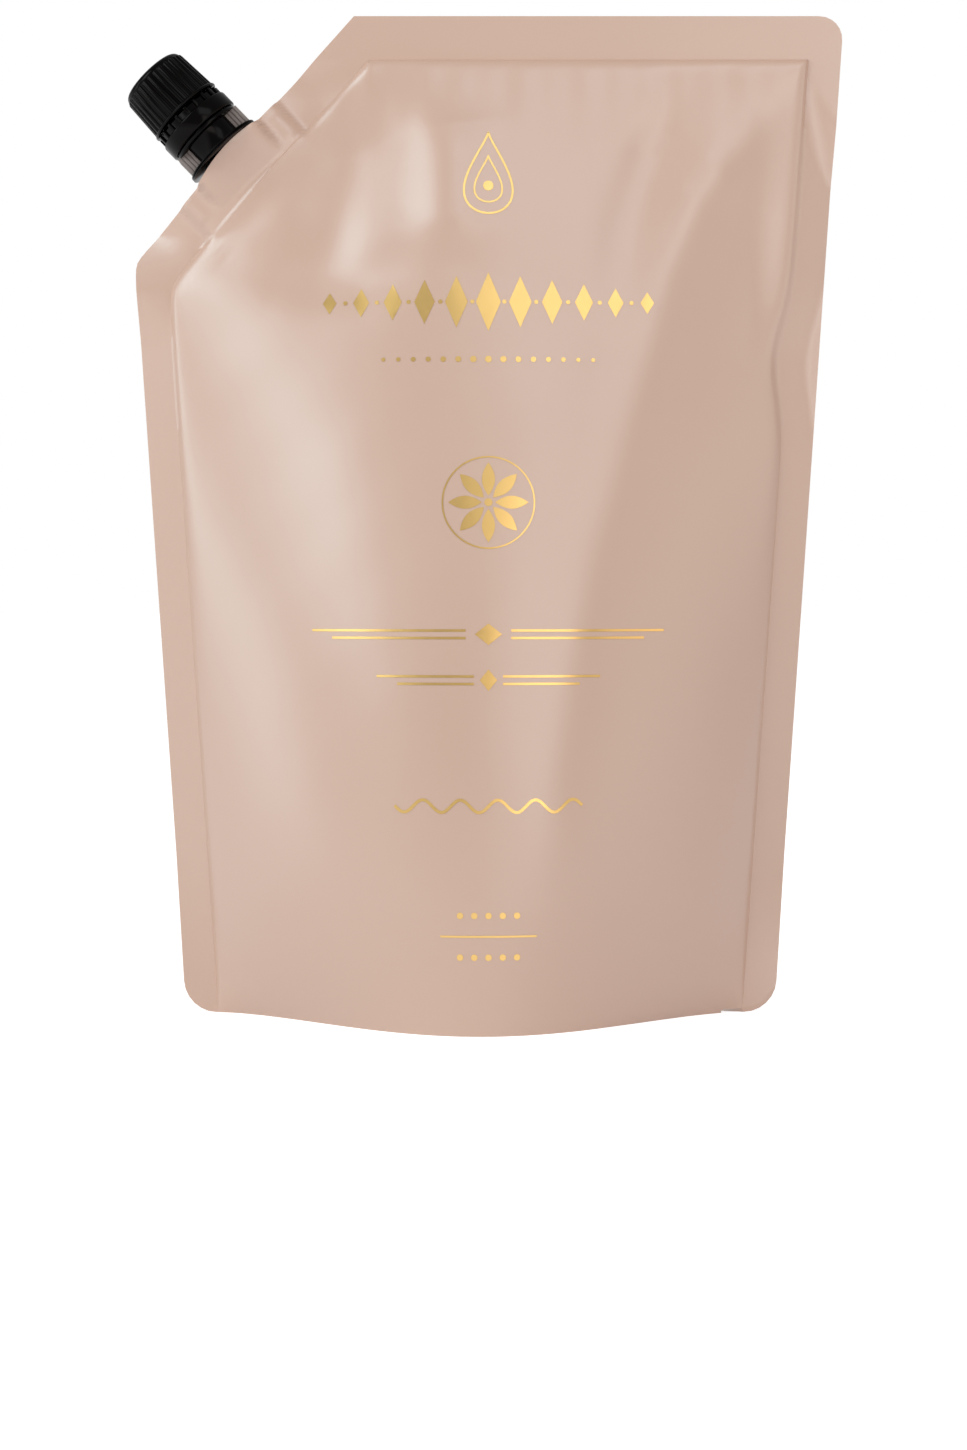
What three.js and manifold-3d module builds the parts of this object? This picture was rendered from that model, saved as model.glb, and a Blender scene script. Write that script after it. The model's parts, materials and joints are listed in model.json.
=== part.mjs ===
// A hand soap refill pack: a filled stand-up film pouch with a screw-capped spout in its cut top corner.
// Millimetres, +Z up. The front panel faces -Y, and the origin is the middle of the flat patch it stands on.
import * as THREE from "three";
import { mergeVertices } from "three/addons/utils/BufferGeometryUtils.js";
import Module from "manifold-3d";

const wasm = await Module();
wasm.setup();

// Film pouch
const pouchHeight = 252;
const topWidth = 184;
const baseWidth = 149;
const filmThickness = 0.4;
const sideSeal = 8.2;
const topSeal = 11;
const cutSeal = 10.2;
const cutAlongTop = 60;
const cutDownSide = 62.3;
const topCornerRadius = 6.3;
const baseCornerRadius = 7.8;

// How far the filled panels stand out from the plane of the seals
const skirtDepth = 38;
const bellyDepth = 39;
const bellyHeight = 36;
const fillLevel = 215;
const filmStiffness = 0.03;
const skirtFlatness = 0.75;

// Foot: the seal between a panel and the gusset climbs from the middle to the sides
const footSealMiddle = 6.5;
const footSealSide = 43;
const footCorner = 5;
const skirtThickness = 1;
const gussetSag = 3;
const gussetFlatness = 7;

// Spout, measured outwards from the film's edge along its own axis
const spoutAlongCut = 36;
const spoutLean = THREE.MathUtils.degToRad(4);
const boatLength = 36.5;
const boatDepth = 13.4;
const boatHeight = 9.2;
const boatRibs = 4;
const boatRibThickness = 0.9;
const boatGroove = 0.7;
const boatTip = 0.3;
const boreDiameter = 11.8;
const neckDiameter = 14.1;
const flangeDiameter = 21.5;
const flangeThickness = 0.9;
const flangeStandoff = 1.3;
const mouthChamfer = 0.6;
const lugHeight = 5.2;
const lugThickness = 2.4;
const lugWidth = 6.6;
const lugReach = 10.2;
const webWidth = 8.6;
const ringSeatDiameter = 19.2;
const ringSeatThickness = 0.8;
const beadDiameter = 16.4;
const beadHeight = 1.2;

// Tamper band and cap
const bandDiameter = 20.5;
const bandHeight = 4.2;
const bandWall = 1.6;
const bandLip = 1.1;
const bandChamfer = 0.3;
const collarDiameter = 18.8;
const collarHeight = 1.9;
const bridgeCount = 20;
const bridgeWidth = 0.9;
const bridgeDepth = 0.9;
const capHeight = 13;
const capBaseDiameter = 19.6;
const capTopDiameter = 18.5;
const capRimDiameter = 20.2;
const capRimHeight = 0.9;
const capInnerDiameter = 16.1;
const capTopWall = 1.5;
const capEdgeRadius = 1.6;
const capRibs = 30;
const capRibDepth = 0.45;
const plugLength = 3;
const plugWall = 0.9;
const plugTaper = 0.2;

// Screw thread, single start
const threadPitch = 4;
const threadTurns = 1.75;
const capThreadTurns = 1.5;
const threadAboveRim = 2.2;
const threadRadius = 0.8;
const capThreadRadius = 0.6;
const threadSink = 0.1;

// Gaps between pieces that touch, and how far a cutting solid runs past what it cuts
const clearance = 0.3;
const plugClearance = 0.3;
const cutPast = 1;

// Mesh fineness
const innerColumns = 22;
const leftColumns = 4;
const rightColumns = 2;
const bodyRowStep = 8;
const spoutRowStep = 3.5;
const cornerRows = 3;
const relaxSteps = 500;
const relaxFactor = 1.8;
const gussetSteps = [28, 12, 6];
const boatSteps = 12;
const aroundSteps = 40;
const stepsPerRib = 4;

const toRadians = THREE.MathUtils.degToRad;

// A closed three.js mesh as a solid, and a solid as a geometry again
function solidOf(geometry) {
  const bare = geometry.clone();
  bare.deleteAttribute("normal");
  bare.deleteAttribute("uv");
  const merged = mergeVertices(bare, 1e-4);
  const mesh = new wasm.Mesh({
    numProp: 3,
    vertProperties: new Float32Array(merged.attributes.position.array),
    triVerts: new Uint32Array(merged.index.array),
  });
  return new wasm.Manifold(mesh);
}

function geometryOf(solid) {
  const mesh = solid.getMesh();
  const geometry = new THREE.BufferGeometry();
  geometry.setAttribute("position", new THREE.Float32BufferAttribute(mesh.vertProperties, 3));
  geometry.setIndex(new THREE.Uint32BufferAttribute(mesh.triVerts, 1));
  geometry.computeVertexNormals();
  return geometry;
}

// Outline of the pouch in its seal plane, row by row
const cutLow = new THREE.Vector2(0, pouchHeight - cutDownSide);
cutLow.x = -halfChord(cutLow.y);
const cutHigh = new THREE.Vector2(-topWidth / 2 + cutAlongTop, pouchHeight);
const cutAngle = Math.atan2(cutHigh.y - cutLow.y, cutHigh.x - cutLow.x);

function halfChord(z) {
  return (baseWidth + ((topWidth - baseWidth) * z) / pouchHeight) / 2;
}

function cornerInset(distance, radius) {
  const rest = Math.max(radius - distance, 0);
  return radius - Math.sqrt(radius * radius - rest * rest);
}

function cutX(z) {
  return cutLow.x + (z - cutLow.y) / Math.tan(cutAngle);
}

const baseRound = Math.min(baseCornerRadius, sideSeal * 0.95);
const topRound = Math.min(topCornerRadius, sideSeal * 0.95, topSeal * 0.95);

function leftEdge(z) {
  return Math.max(-halfChord(z) + cornerInset(z, baseRound), cutX(z));
}

function rightEdge(z) {
  return halfChord(z) - cornerInset(z, baseRound) - cornerInset(pouchHeight - z, topRound);
}

function leftSeal(z) {
  return Math.max(-halfChord(z) + sideSeal, cutX(z) + cutSeal / Math.sin(cutAngle));
}

function rightSeal(z) {
  return halfChord(z) - sideSeal;
}

// Rows of the film mesh: fine round the corners and beside the spout
function spaced(from, to, step) {
  const count = Math.max(1, Math.round((to - from) / step));
  return Array.from({ length: count }, (_, i) => from + ((to - from) * i) / count);
}

function arcRows(radius) {
  const turn = Math.PI / 2 / cornerRows;
  return Array.from({ length: cornerRows }, (_, i) => radius * (1 - Math.cos(turn * i)));
}

const sealLine = pouchHeight - topSeal;
const spoutZone = cutLow.y - cutSeal;
const rowHeights = [
  ...arcRows(baseRound),
  ...spaced(baseRound, spoutZone, bodyRowStep),
  ...spaced(spoutZone, sealLine, spoutRowStep),
  sealLine,
  pouchHeight - topRound,
  ...arcRows(topRound).slice(1).reverse().map((drop) => pouchHeight - drop),
  pouchHeight,
];
const rows = rowHeights.length - 1;
const columns = leftColumns + innerColumns + rightColumns;

function columnX(column, z) {
  const left = leftSeal(z);
  const right = rightSeal(z);
  if (column < leftColumns) return THREE.MathUtils.lerp(leftEdge(z), left, column / leftColumns);
  const outer = column - leftColumns - innerColumns;
  if (outer > 0) return THREE.MathUtils.lerp(right, rightEdge(z), outer / rightColumns);
  const inner = (column - leftColumns) / innerColumns;
  const eased = 0.5 - 0.5 * Math.cos(Math.PI * inner);
  return THREE.MathUtils.lerp(left, right, (inner + eased) / 2);
}

// The spout's own frame: X along the cut, Y through the pouch, Z outwards
const spoutFrame = new THREE.Group();
spoutFrame.position.set(
  cutLow.x + spoutAlongCut * Math.cos(cutAngle),
  0,
  cutLow.y + spoutAlongCut * Math.sin(cutAngle),
);
spoutFrame.rotation.y = -(cutAngle - spoutLean);
spoutFrame.updateMatrix();
const intoSpout = spoutFrame.matrix.clone().invert();

// Half thickness of the boat at a distance along the cut: an arc that ends in points
function boatHalf(along, grow = 0) {
  const half = boatLength / 2;
  const depth = boatDepth / 2;
  const radius = (half * half + depth * depth) / (2 * depth);
  const inside = Math.max(radius * radius - along * along, 0);
  return Math.max(Math.sqrt(inside) - (radius - depth), 0) + grow;
}

// Film over the boat: its half thickness there, or -1 where the film is free
const filmOverBoat = boatTip + clearance + filmThickness * 1.5;

function boatCover(x, z) {
  const place = new THREE.Vector3(x, 0, z).applyMatrix4(intoSpout);
  const reach = boatLength / 2 + cutPast;
  const below = -boatHeight - clearance - spoutRowStep;
  if (Math.abs(place.x) > reach || place.z < below) return -1;
  return boatHalf(place.x, filmOverBoat);
}

// Half thickness of the filled pouch at each mesh point. The seals, the boat and the foot are held, and the film
// between them is relaxed like a stretched skin under the liquid's head, which is scaled to reach the belly's depth.
const sheet = rowHeights.map((z) => Array.from({ length: columns + 1 }, (_, i) => columnX(i, z)));

function skirtHalf(x) {
  const half = halfChord(0) - sideSeal;
  const share = Math.min(Math.abs(x) / half, 1);
  const swell = 0.5 + 0.5 * Math.cos(Math.PI * share);
  return filmThickness / 2 + (skirtDepth - filmThickness / 2) * Math.pow(swell, skirtFlatness);
}

function heldDepth(row, column) {
  const x = sheet[row][column];
  const z = rowHeights[row];
  const boat = boatCover(x, z);
  if (boat > 0) return boat;
  if (row === 0) return skirtHalf(x);
  const sealed = column <= leftColumns || column >= columns - rightColumns || z > sealLine - 0.01;
  return sealed ? filmThickness / 2 : -1;
}

function relax(head) {
  const depth = sheet.map((line, row) => line.map((_, column) => Math.max(heldDepth(row, column), 0)));
  const free = sheet.map((line, row) => line.map((_, column) => heldDepth(row, column) < 0));
  for (let step = 0; step < relaxSteps; step += 1) {
    for (let row = 1; row < rows; row += 1) {
      const down = rowHeights[row] - rowHeights[row - 1];
      const up = rowHeights[row + 1] - rowHeights[row];
      const load = head * (Math.max(fillLevel - rowHeights[row], 0) / fillLevel + filmStiffness);
      for (let column = 1; column < columns; column += 1) {
        if (!free[row][column]) continue;
        const left = sheet[row][column] - sheet[row][column - 1];
        const right = sheet[row][column + 1] - sheet[row][column];
        const tall = (down + up) / 2;
        const wide = (left + right) / 2;
        const pull = tall / left + tall / right + wide / down + wide / up;
        const sides = (depth[row][column - 1] * tall) / left + (depth[row][column + 1] * tall) / right;
        const ends = (depth[row - 1][column] * wide) / down + (depth[row + 1][column] * wide) / up;
        const aim = (sides + ends + load * tall * wide) / pull;
        depth[row][column] += (aim - depth[row][column]) * relaxFactor;
      }
    }
  }
  return depth;
}

const slack = relax(0);
const unitHead = relax(1);
const bellyRow = rowHeights.findIndex((z) => z >= bellyHeight);
const middle = leftColumns + innerColumns / 2;
const rise = unitHead[bellyRow][middle] - slack[bellyRow][middle];
const headScale = (bellyDepth - slack[bellyRow][middle]) / rise;
const filled = slack.map((line, row) =>
  line.map((still, column) => still + headScale * (unitHead[row][column] - still)),
);

// Half thickness anywhere inside the outline, between the mesh points
function filmDepth(x, z) {
  const row = THREE.MathUtils.clamp(rowHeights.findIndex((height) => height > z) - 1, 0, rows - 1);
  const share = THREE.MathUtils.clamp((z - rowHeights[row]) / (rowHeights[row + 1] - rowHeights[row]), 0, 1);
  const across = (line) => {
    const column = THREE.MathUtils.clamp(sheet[line].findIndex((edge) => edge > x) - 1, 0, columns - 1);
    const from = sheet[line][column];
    const part = THREE.MathUtils.clamp((x - from) / (sheet[line][column + 1] - from), 0, 1);
    return THREE.MathUtils.lerp(filled[line][column], filled[line][column + 1], part);
  };
  return THREE.MathUtils.lerp(across(row), across(row + 1), share);
}

// Long soft folds of the front panel: a line of points in the panel, how far it stands out, and its half width.
// They fade where the panel is nearer than this to the plane of the seals.
const foldDepth = 9;
const cornerX = topWidth / 2 - sideSeal;
const frontFolds = [
  { line: [[70, 228], [53, 205], [46, 185], [40, 156], [30, 123], [22, 68], [15, 20]], height: 1.2, reach: 8 },
  { line: [[cornerX, sealLine], [68, 226], [57, 210]], height: -1.5, reach: 6 },
  { line: [[-10, sealLine - 2], [-9, 224], [-8, 205]], height: -1.3, reach: 6 },
  { line: [[-24, 236], [-20, 222], [-14, 205]], height: 1.2, reach: 9 },
  { line: [[-38, 196], [-57, 199]], height: -1.3, reach: 9 },
];

function foldHeight(x, z) {
  let sum = 0;
  for (const fold of frontFolds) {
    let nearest = Infinity;
    for (let i = 1; i < fold.line.length; i += 1) {
      const start = new THREE.Vector3(fold.line[i - 1][0], 0, fold.line[i - 1][1]);
      const end = new THREE.Vector3(fold.line[i][0], 0, fold.line[i][1]);
      const point = new THREE.Vector3(x, 0, z);
      const foot = new THREE.Line3(start, end).closestPointToPoint(point, true, new THREE.Vector3());
      nearest = Math.min(nearest, foot.distanceTo(point));
    }
    sum += fold.height * Math.exp(-((nearest / fold.reach) ** 2));
  }
  return sum;
}

// Pouch: a block of rows and columns, its front and back faces moved out to the filled film
function filledPouch() {
  const block = new THREE.BoxGeometry(1, 1, 1, columns, 1, rows);
  const place = block.attributes.position;
  for (let i = 0; i < place.count; i += 1) {
    const column = Math.round((place.getX(i) + 0.5) * columns);
    const row = Math.round((place.getZ(i) + 0.5) * rows);
    const x = sheet[row][column];
    const z = rowHeights[row];
    const half = filled[row][column];
    const front = place.getY(i) < 0;
    const loose = Math.min(half / foldDepth, 1);
    const fold = front && boatCover(x, z) < 0 ? foldHeight(x, z) * loose : 0;
    place.setXYZ(i, x, front ? -half - fold : half, z);
  }
  return solidOf(block);
}

// The space under the gusset, between the front and back skirts. It dips below the table in the middle, where the
// full gusset lies flat on it.
function underGusset() {
  const reach = halfChord(0) - sideSeal - footCorner;
  const block = new THREE.BoxGeometry(1, 1, 1, ...gussetSteps);
  const place = block.attributes.position;
  for (let i = 0; i < place.count; i += 1) {
    const x = place.getX(i) * 2 * reach;
    const across = place.getY(i) * 2;
    const up = place.getZ(i) + 0.5;
    const share = Math.abs(x) / reach;
    const sealHeight = footSealMiddle + (footSealSide - footSealMiddle) * share * share;
    const sag = (sealHeight + gussetSag) * (1 - share ** gussetFlatness);
    const top = sealHeight - sag * (1 - across * across);
    const z = -cutPast + up * (top + cutPast);
    const wall = Math.max(filmDepth(x, Math.max(z, 0)) - skirtThickness, filmThickness / 4);
    place.setXYZ(i, x, across * wall, z);
  }
  return solidOf(block);
}

// Outline of the boat seen along the spout's axis
function boatShape(grow) {
  const half = boatLength / 2;
  const points = [];
  for (let i = 0; i <= boatSteps; i += 1) {
    const along = -half + (boatLength * i) / boatSteps;
    const depth = Math.max(boatHalf(along, boatTip + grow), boatTip);
    points.push(new THREE.Vector2(along * (1 + grow / half), -depth));
  }
  const back = points.map((point) => new THREE.Vector2(point.x, -point.y)).reverse();
  return new THREE.Shape([...points, ...back]);
}

function extruded(shape, from, to) {
  const geometry = new THREE.ExtrudeGeometry(shape, { depth: to - from, bevelEnabled: false, steps: 1 });
  return geometry.translate(0, 0, from);
}

function boatPocket() {
  const pocket = extruded(boatShape(clearance), -boatHeight - clearance, cutSeal);
  return solidOf(pocket.applyMatrix4(spoutFrame.matrix));
}

const pouchSolid = filledPouch().subtract(underGusset()).subtract(boatPocket());

// Heights up the spout's axis, each from the one below
const flangeTop = flangeStandoff + flangeThickness;
const seatBottom = flangeTop + lugHeight;
const seatTop = seatBottom + ringSeatThickness;
const bandBottom = seatTop + clearance;
const beadBottom = bandBottom + bandLip + clearance;
const beadTop = beadBottom + beadHeight;
const bandTop = bandBottom + bandHeight;
const collarTop = bandTop + collarHeight;
const capBottom = collarTop + clearance * 2;
const capTop = capBottom + capHeight;
const ceiling = capTop - capTopWall;
const mouth = ceiling - clearance;
const threadStart = capBottom + threadAboveRim;

function turned(profile, steps = aroundSteps) {
  const points = profile.map(([radius, height]) => new THREE.Vector2(radius, height));
  return new THREE.LatheGeometry(points, steps).rotateX(Math.PI / 2);
}

// A round bead wound up the axis
class Helix extends THREE.Curve {
  constructor(radius, from, startTurn, turns) {
    super();
    this.radius = radius;
    this.from = from;
    this.startTurn = startTurn;
    this.turns = turns;
  }

  getPoint(share, target = new THREE.Vector3()) {
    const turn = this.startTurn + share * this.turns;
    const angle = turn * Math.PI * 2;
    const height = this.from + turn * threadPitch;
    return target.set(this.radius * Math.cos(angle), this.radius * Math.sin(angle), height);
  }
}

function threadBead(bead, radius, from, startTurn, turns) {
  const section = new THREE.Shape().absarc(0, 0, bead, 0, Math.PI * 2);
  const path = new Helix(radius, from, startTurn, turns);
  const steps = Math.round(turns * 24);
  return new THREE.ExtrudeGeometry(section, { extrudePath: path, steps, curveSegments: 4, bevelEnabled: false });
}

// Spout: ribbed boat, barrel, two flanges with lugs between them, bead and threaded neck round one bore
function makeSpout() {
  const neck = neckDiameter / 2;
  const bore = boreDiameter / 2;
  const outside = turned([
    [0, -boatHeight],
    [neck - boatGroove, -boatHeight],
    [neck - boatGroove, -clearance],
    [neck - boatGroove, flangeStandoff],
    [flangeDiameter / 2, flangeStandoff],
    [flangeDiameter / 2, flangeTop],
    [neck, flangeTop],
    [neck, seatBottom],
    [ringSeatDiameter / 2, seatBottom],
    [ringSeatDiameter / 2, seatTop],
    [neck, seatTop],
    [neck, beadBottom],
    [beadDiameter / 2, beadBottom],
    [neck, beadTop],
    [neck, mouth - mouthChamfer],
    [neck - mouthChamfer, mouth],
    [0, mouth],
  ]);
  let spout = solidOf(outside);
  spout = spout.add(solidOf(extruded(boatShape(-boatGroove), -boatHeight, 0)));
  const pitch = (boatHeight - boatRibThickness) / (boatRibs - 1);
  for (let i = 0; i < boatRibs; i += 1) {
    const from = -boatHeight + i * pitch;
    spout = spout.add(solidOf(extruded(boatShape(0), from, from + boatRibThickness)));
  }
  for (const side of [-1, 1]) {
    const inner = neck - cutPast;
    const lug = new THREE.BoxGeometry(lugReach - inner, lugWidth, lugHeight + flangeThickness);
    lug.translate((side * (lugReach + inner)) / 2, 0, flangeTop + lugHeight / 2);
    spout = spout.add(solidOf(lug));
    const web = new THREE.BoxGeometry(lugThickness, webWidth, lugHeight + flangeThickness);
    web.translate(side * (lugReach - lugThickness), 0, flangeTop + lugHeight / 2);
    spout = spout.add(solidOf(web));
  }
  const thread = threadBead(threadRadius, neck - threadSink, threadStart, 0, threadTurns);
  spout = spout.add(solidOf(thread));
  const hole = new THREE.CylinderGeometry(bore, bore, mouth + boatHeight + cutPast * 2, aroundSteps);
  hole.rotateX(Math.PI / 2).translate(0, 0, (mouth - boatHeight) / 2);
  return spout.subtract(solidOf(hole));
}

// Tamper band: a smooth band with an inner lip under the neck's bead, a narrow collar and the stubs of its bridges
function makeTamperRing() {
  const outer = bandDiameter / 2;
  const inner = outer - bandWall;
  const lip = (neckDiameter + beadDiameter) / 4;
  const collar = collarDiameter / 2;
  const band = turned([
    [lip, bandBottom],
    [outer - bandChamfer, bandBottom],
    [outer, bandBottom + bandChamfer],
    [outer, bandTop - bandChamfer],
    [outer - bandChamfer, bandTop],
    [collar, bandTop],
    [collar, collarTop - clearance],
    [inner, collarTop - clearance],
    [inner, bandBottom + bandLip],
    [lip, bandBottom + bandLip],
    [lip, bandBottom],
  ]);
  let ring = solidOf(band);
  for (let i = 0; i < bridgeCount; i += 1) {
    const stub = new THREE.BoxGeometry(bridgeDepth, bridgeWidth, collarHeight + clearance);
    stub.translate(collar, 0, bandTop + collarHeight / 2);
    stub.rotateZ((Math.PI * 2 * i) / bridgeCount);
    ring = ring.add(solidOf(stub));
  }
  return ring;
}

// Cap: tapered ribbed skirt over a plain rim, closed top, inner plug and thread
function makeCap() {
  const rimTop = capBottom + capRimHeight;
  const base = capBaseDiameter / 2;
  const top = capTopDiameter / 2;
  const shoulder = capTop - capEdgeRadius;
  const rim = capRimDiameter / 2;
  const edge = [0, 30, 60, 90].map((angle) => [
    top - capEdgeRadius + capEdgeRadius * Math.cos(toRadians(angle)),
    shoulder + capEdgeRadius * Math.sin(toRadians(angle)),
  ]);
  const shell = turned(
    [[0, capBottom], [rim, capBottom], [rim, rimTop], [base, rimTop], ...edge, [0, capTop]],
    capRibs * stepsPerRib,
  );
  const place = shell.attributes.position;
  for (let i = 0; i < place.count; i += 1) {
    const x = place.getX(i);
    const y = place.getY(i);
    const z = place.getZ(i);
    const radius = Math.hypot(x, y);
    const onSkirt = z > rimTop - 0.01 && z < shoulder + 0.01 && radius > top - 0.01 && radius < rim - 0.01;
    if (!onSkirt) continue;
    const angle = Math.atan2(y, x);
    const groove = (0.5 - 0.5 * Math.cos(angle * capRibs)) * capRibDepth;
    const scale = (radius - groove) / radius;
    place.setXYZ(i, x * scale, y * scale, z);
  }
  const inner = capInnerDiameter / 2;
  const plugOuter = boreDiameter / 2 - plugClearance;
  const room = turned([
    [0, capBottom - cutPast],
    [inner, capBottom - cutPast],
    [inner, ceiling],
    [plugOuter, ceiling],
    [plugOuter - plugTaper, ceiling - plugLength],
    [plugOuter - plugWall, ceiling - plugLength],
    [plugOuter - plugWall, ceiling],
    [0, ceiling],
  ]);
  const between = threadStart + threadPitch / 2;
  const thread = threadBead(capThreadRadius, inner - threadSink, between, -capThreadTurns / 2, capThreadTurns);
  return solidOf(shell).subtract(solidOf(room)).add(solidOf(thread));
}

function piece(name, solid, colour, roughness) {
  const material = new THREE.MeshStandardMaterial({ color: colour, roughness, metalness: 0 });
  const mesh = new THREE.Mesh(geometryOf(solid), material);
  mesh.name = name;
  return mesh;
}

const pack = new THREE.Group();
pack.add(piece("pouch", pouchSolid, "#cdb0a3", 0.42));
spoutFrame.add(piece("spout", makeSpout(), "#0c0a09", 0.35));
spoutFrame.add(piece("tamper_ring", makeTamperRing(), "#0c0a09", 0.35));
spoutFrame.add(piece("cap", makeCap(), "#0a0908", 0.4));
pack.add(spoutFrame);

export default pack;
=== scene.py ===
"""A refill pack of liquid hand soap: a stand-up film pouch with a screw-capped spout welded into its cut corner.

The front panel faces -Y and the pack stands on z = 0. Lengths in this script are in millimetres until they reach a
mesh, which is in metres.
"""
import json
import math

import bmesh
import bpy
import numpy as np
from mathutils import Matrix, Vector


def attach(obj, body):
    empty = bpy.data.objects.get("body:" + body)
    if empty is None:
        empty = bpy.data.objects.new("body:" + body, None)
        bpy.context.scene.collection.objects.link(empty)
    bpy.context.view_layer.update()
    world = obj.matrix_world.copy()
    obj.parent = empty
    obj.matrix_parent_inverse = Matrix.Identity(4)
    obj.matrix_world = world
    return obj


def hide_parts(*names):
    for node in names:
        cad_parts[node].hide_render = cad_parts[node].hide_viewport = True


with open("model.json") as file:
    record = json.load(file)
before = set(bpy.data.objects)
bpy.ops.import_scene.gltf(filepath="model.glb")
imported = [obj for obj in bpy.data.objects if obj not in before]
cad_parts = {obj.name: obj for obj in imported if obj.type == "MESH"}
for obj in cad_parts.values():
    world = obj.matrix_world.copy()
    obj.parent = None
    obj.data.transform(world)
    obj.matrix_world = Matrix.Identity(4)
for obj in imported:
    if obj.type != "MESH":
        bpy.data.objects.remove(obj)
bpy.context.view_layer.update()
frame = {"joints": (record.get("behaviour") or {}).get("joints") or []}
MM = 0.001


# Camera
# A level camera a little above the middle of the pack, close enough to look down on its foot and up at its spout.
# The frame is shifted down, as the picture holds more white below the pack than above it.
FRAME_HEIGHT_PX = 1450
PX_PER_MM = 3.951
CAMERA_DISTANCE = 660
CAMERA_HEIGHT = 104
CAMERA_ASIDE = 0.8
HORIZON_PX = 601
SENSOR_MM = 36

camera_data = bpy.data.cameras.new("camera")
camera_data.sensor_width = SENSOR_MM
camera_data.lens = CAMERA_DISTANCE * SENSOR_MM * PX_PER_MM / FRAME_HEIGHT_PX
camera_data.shift_y = -(FRAME_HEIGHT_PX / 2 - HORIZON_PX) / FRAME_HEIGHT_PX
camera_data.clip_start = 0.01
camera_data.clip_end = 50
camera = bpy.data.objects.new("camera", camera_data)
camera.location = (CAMERA_ASIDE * MM, -CAMERA_DISTANCE * MM, CAMERA_HEIGHT * MM)
camera.rotation_euler = (math.radians(90), 0, 0)
bpy.context.scene.collection.objects.link(camera)
bpy.context.scene.camera = camera


# Pouch film
# A printed polyester film laminated to polyethylene, about 0.15 mm thick, folded and heat-sealed round its edges and
# along its foot, then filled. The full panels bulge between the seals, and a few long soft folds run across them.
TOP_WIDTH = 184
BASE_WIDTH = 149
POUCH_HEIGHT = 252
SIDE_SEAL = 8.2
TOP_SEAL = 11
CUT_SEAL = 10.2
CUT_ALONG_TOP = 60
CUT_DOWN_SIDE = 62.3
TOP_RADIUS = 6.3
BASE_RADIUS = 7.8
CUT_RADIUS = 3
WIDE_SEAL = 3.2
WIDE_SEAL_AT = 165
WIDE_SEAL_REACH = 13
FILM_HALF = 0.15
SKIRT_DEPTH = 38
SKIRT_FLATNESS = 0.75
BELLY_DEPTH = 39
BELLY_HEIGHT = 36
FILL_LEVEL = 215
FILM_STIFFNESS = 0.03
FOOT_SEAL_MIDDLE = 6.5
FOOT_SEAL_SIDE = 43
FOOT_CORNER = 5
SKIRT_WALL = 0.35
GUSSET_SAG = 3
GUSSET_FLATNESS = 7
BOAT_LENGTH = 36.5
BOAT_DEPTH = 13.4
BOAT_HEIGHT = 9.2
SEAL_LIP = 1.2
LIP_REACH = 1.3
FILM_OVER_BOAT = 0.6
BOAT_TAPER = 0.58
BARREL_HALF = 10.5
BARREL_CROWN = 1.6
BARREL_CREASE = 0.9
WING_DEPTH = 2.7
WING_TAPER = 0.2
EDGE_OVER_BARREL = 1.15

spout_joint = next(joint for joint in frame["joints"] if joint["name"] == "cap_turn")
spout_axis = Vector(spout_joint["axis"]).normalized()
spout_place = Vector(spout_joint["pos_m"])
spout_across = Vector((0, 1, 0)).cross(spout_axis)
spout_frame = Matrix.Translation(spout_place) @ Matrix((spout_across, (0, 1, 0), spout_axis)).transposed().to_4x4()


def half_chord(z):
    return (BASE_WIDTH + (TOP_WIDTH - BASE_WIDTH) * z / POUCH_HEIGHT) / 2


def corner_inset(distance, radius):
    rest = np.maximum(radius - distance, 0)
    return radius - np.sqrt(radius * radius - rest * rest)


cut_low_z = POUCH_HEIGHT - CUT_DOWN_SIDE
cut_low_x = -half_chord(cut_low_z)
cut_high_x = -TOP_WIDTH / 2 + CUT_ALONG_TOP
cut_angle = math.atan2(CUT_DOWN_SIDE, cut_high_x - cut_low_x)


def cut_x(z):
    return cut_low_x + (z - cut_low_z) / math.tan(cut_angle)


def soft_max(a, b, blend):
    return (a + b + np.sqrt((a - b) ** 2 + blend * blend)) / 2


# The film's own grid: rows up the pouch, columns across it, both fixed to the seals.
LEFT_COLUMNS = 16
INNER_COLUMNS = 112
RIGHT_COLUMNS = 8
ROW_STEP = 1.6
CORNER_ROWS = 6
BOAT_ROWS_FROM = 196
BOAT_ROW_STEP = 0.8
SEAL_ROWS_BELOW = 6
SEAL_ROWS = 10
TOP_SEAL_ROWS = 4
seal_line = POUCH_HEIGHT - TOP_SEAL
near_seal = seal_line - SEAL_ROWS_BELOW


def arc_rows(radius):
    return radius * (1 - np.cos(np.linspace(0, math.pi / 2, CORNER_ROWS, endpoint=False)))


def even_rows(low, high, count):
    return np.linspace(low, high, count, endpoint=False)


rows_z = np.concatenate([
    arc_rows(BASE_RADIUS),
    even_rows(BASE_RADIUS, BOAT_ROWS_FROM, round((BOAT_ROWS_FROM - BASE_RADIUS) / ROW_STEP)),
    even_rows(BOAT_ROWS_FROM, near_seal, round((near_seal - BOAT_ROWS_FROM) / BOAT_ROW_STEP)),
    even_rows(near_seal, seal_line, SEAL_ROWS),
    even_rows(seal_line, POUCH_HEIGHT - TOP_RADIUS, TOP_SEAL_ROWS),
    POUCH_HEIGHT - np.append(0, arc_rows(TOP_RADIUS)[1:])[::-1][:-1],
    [POUCH_HEIGHT],
])
rows_z = np.unique(np.round(np.append(rows_z, POUCH_HEIGHT - TOP_RADIUS), 4))
left_edge = soft_max(-half_chord(rows_z), cut_x(rows_z), CUT_RADIUS / 2) + corner_inset(rows_z, BASE_RADIUS)
right_edge = half_chord(rows_z) - corner_inset(rows_z, BASE_RADIUS) - corner_inset(POUCH_HEIGHT - rows_z, TOP_RADIUS)
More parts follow.
